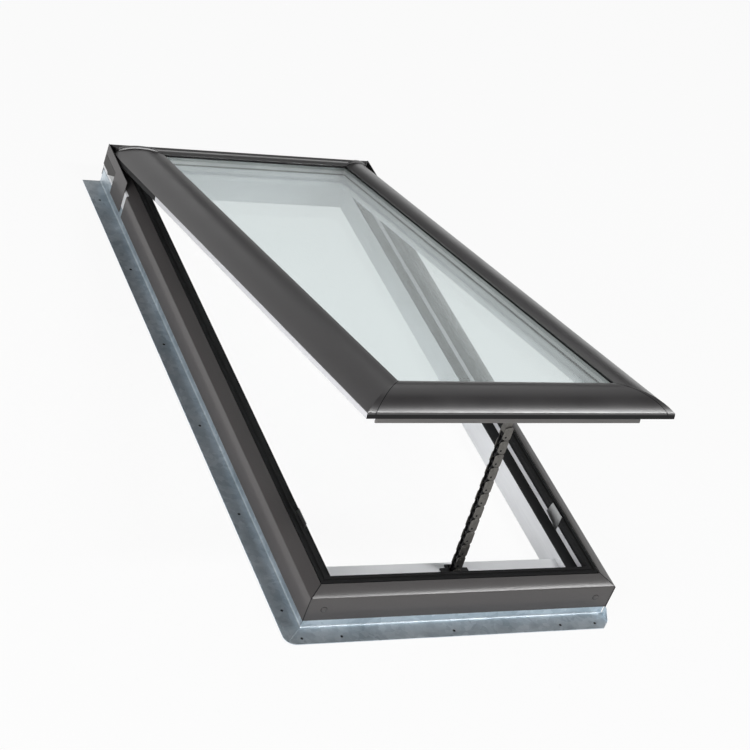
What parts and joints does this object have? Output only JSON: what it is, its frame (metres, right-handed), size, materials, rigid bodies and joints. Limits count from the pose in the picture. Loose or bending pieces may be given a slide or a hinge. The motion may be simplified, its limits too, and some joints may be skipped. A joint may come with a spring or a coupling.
{
  "type": "roof skylight",
  "caption": "Top-hinged deck-mounted roof skylight with a white wooden frame, metal cladding, insulating glass and a push chain that raises the sash.",
  "frame": {"origin": "centre of the footprint, on the roof deck's plane under the flange", "axes": "+X across the roof, +Y up the slope towards the hinges, +Z out of the roof"},
  "size_m": [0.613, 1.2086, 0.3963],
  "materials": {
    "white_wood": "white lacquer",
    "cladding": "matt paint",
    "sash_cover": "satin paint",
    "galvanised": "galvanised",
    "rubber": "matt",
    "bare_aluminium": "satin",
    "bright_steel": "zinc plated",
    "white_plastic": "satin",
    "black_plastic": "matt",
    "glass": "clear",
    "chain_steel": "blackened"
  },
  "bodies": {
    "frame": {"frame_left": "white_wood", "frame_right": "white_wood", "frame_bottom": "white_wood", "frame_top": "white_wood", "cladding_left": "cladding", "cladding_right": "cladding", "cladding_bottom": "cladding", "cladding_top": "cladding", "hinge_cover_left": "cladding", "hinge_cover_right": "cladding", "hood_return_left": "cladding", "hood_return_right": "cladding", "flange_left": "galvanised", "flange_right": "galvanised", "flange_bottom": "galvanised", "frame_gasket": "rubber", "ledge_gasket": "rubber", "inner_trim_left": "bare_aluminium", "inner_trim_right": "bare_aluminium", "guide_clip_left": "bright_steel", "guide_clip_right": "bright_steel", "cladding_screws": "cladding", "operator_housing": "black_plastic", "operator_cover": "white_plastic", "chain_guide": "black_plastic", "hinge_leaf_frame_left": "bright_steel", "hinge_leaf_frame_right": "bright_steel", "hinge_pins": "bright_steel"},
    "sash": {"hinge_leaf_sash_left": "bright_steel", "hinge_leaf_sash_right": "bright_steel", "sash_left": "white_wood", "sash_right": "white_wood", "sash_bottom": "white_wood", "sash_top": "white_wood", "sash_bottom_strip": "bare_aluminium", "cover_left": "sash_cover", "cover_right": "sash_cover", "cover_bottom": "sash_cover", "cover_top": "sash_cover", "cover_corner_left": "sash_cover", "cover_corner_right": "sash_cover", "cover_cap_left": "sash_cover", "cover_cap_right": "sash_cover", "glass_outer": "glass", "glass_inner": "glass", "glass_spacer": "bare_aluminium", "glazing_gasket": "rubber", "glazing_tape": "rubber", "chain_bracket": "bright_steel", "bracket_pin": "bright_steel"},
    "chain": {"chain_end": "chain_steel", "chain_outer_plates": "chain_steel", "chain_inner_plates": "chain_steel", "chain_pins": "chain_steel", "chain_rollers": "chain_steel"}
  },
  "joints": [
    {"name": "sash_hinge", "type": "hinge", "parent": "frame", "child": "sash", "pos_m": [0, 0.55425, 0.0718], "axis": [1, 0, 0], "range_deg": [0, 15.7], "deforming": ["chain_outer_plates", "chain_inner_plates", "chain_pins", "chain_rollers"]},
    {"name": "chain_swing", "type": "hinge", "parent": "sash", "child": "chain", "pos_m": [0.014, -0.46904, 0.32931], "axis": [1, 0, 0], "range_deg": [-6.2, 0]}
  ],
  "couplings": [
    {"joint": "chain_swing", "follows": "sash_hinge", "ratio": -0.39}
  ]
}
